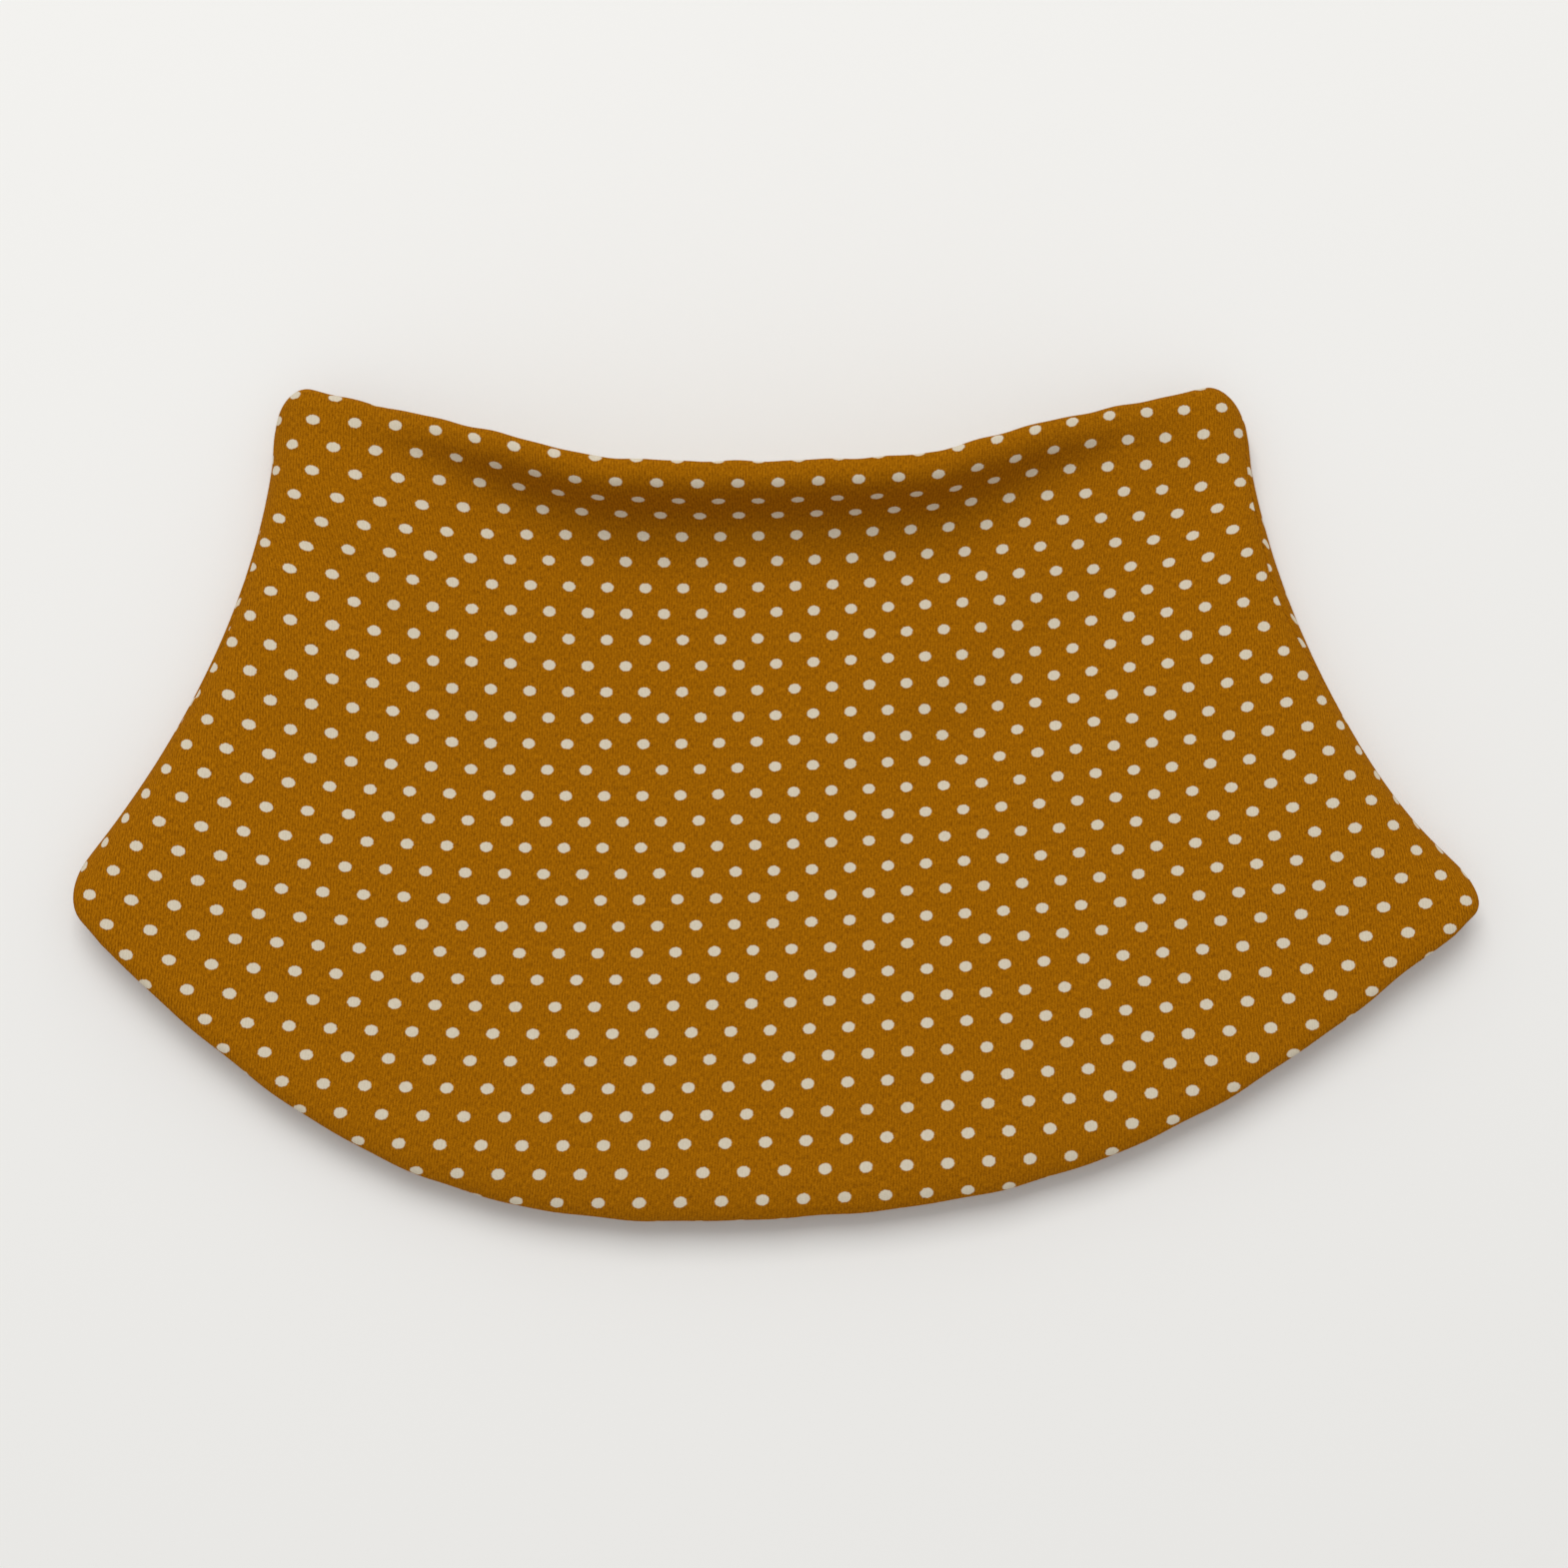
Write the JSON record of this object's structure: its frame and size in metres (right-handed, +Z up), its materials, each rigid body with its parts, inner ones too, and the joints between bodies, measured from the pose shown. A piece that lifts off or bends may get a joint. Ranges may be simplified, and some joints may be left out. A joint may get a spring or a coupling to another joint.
{
  "type": "slip-on baby bib",
  "caption": "Soft double-layer slip-on baby bib in dotted jersey with a rolled neck edge, a curved hem and a lining, lying flat.",
  "frame": {"origin": "on the table, under the centre of the bib's outline as it lies flat", "axes": "+X across the width, +Y towards the neck edge, +Z up from the table through the front"},
  "size_m": [0.2865, 0.1734, 0.03],
  "materials": {
    "dotted_jersey": "mustard cotton jersey printed with small cream dots",
    "lining_fleece": "off-white cotton fleece, fine nap",
    "mustard_thread": "spun polyester sewing thread, mustard",
    "cream_thread": "spun polyester sewing thread, cream"
  },
  "bodies": {
    "root": {"outer_front_panel": "dotted_jersey", "outer_back_panel": "dotted_jersey", "lining_front_panel": "lining_fleece", "lining_back_panel": "lining_fleece", "neck_seam": "mustard_thread", "hem_seam": "mustard_thread", "outer_left_side_seam": "mustard_thread", "outer_right_side_seam": "mustard_thread", "lining_right_side_seam": "cream_thread", "lining_left_seam_upper": "cream_thread", "lining_left_seam_lower": "cream_thread", "turning_gap_stitches": "cream_thread"}
  },
  "joints": []
}
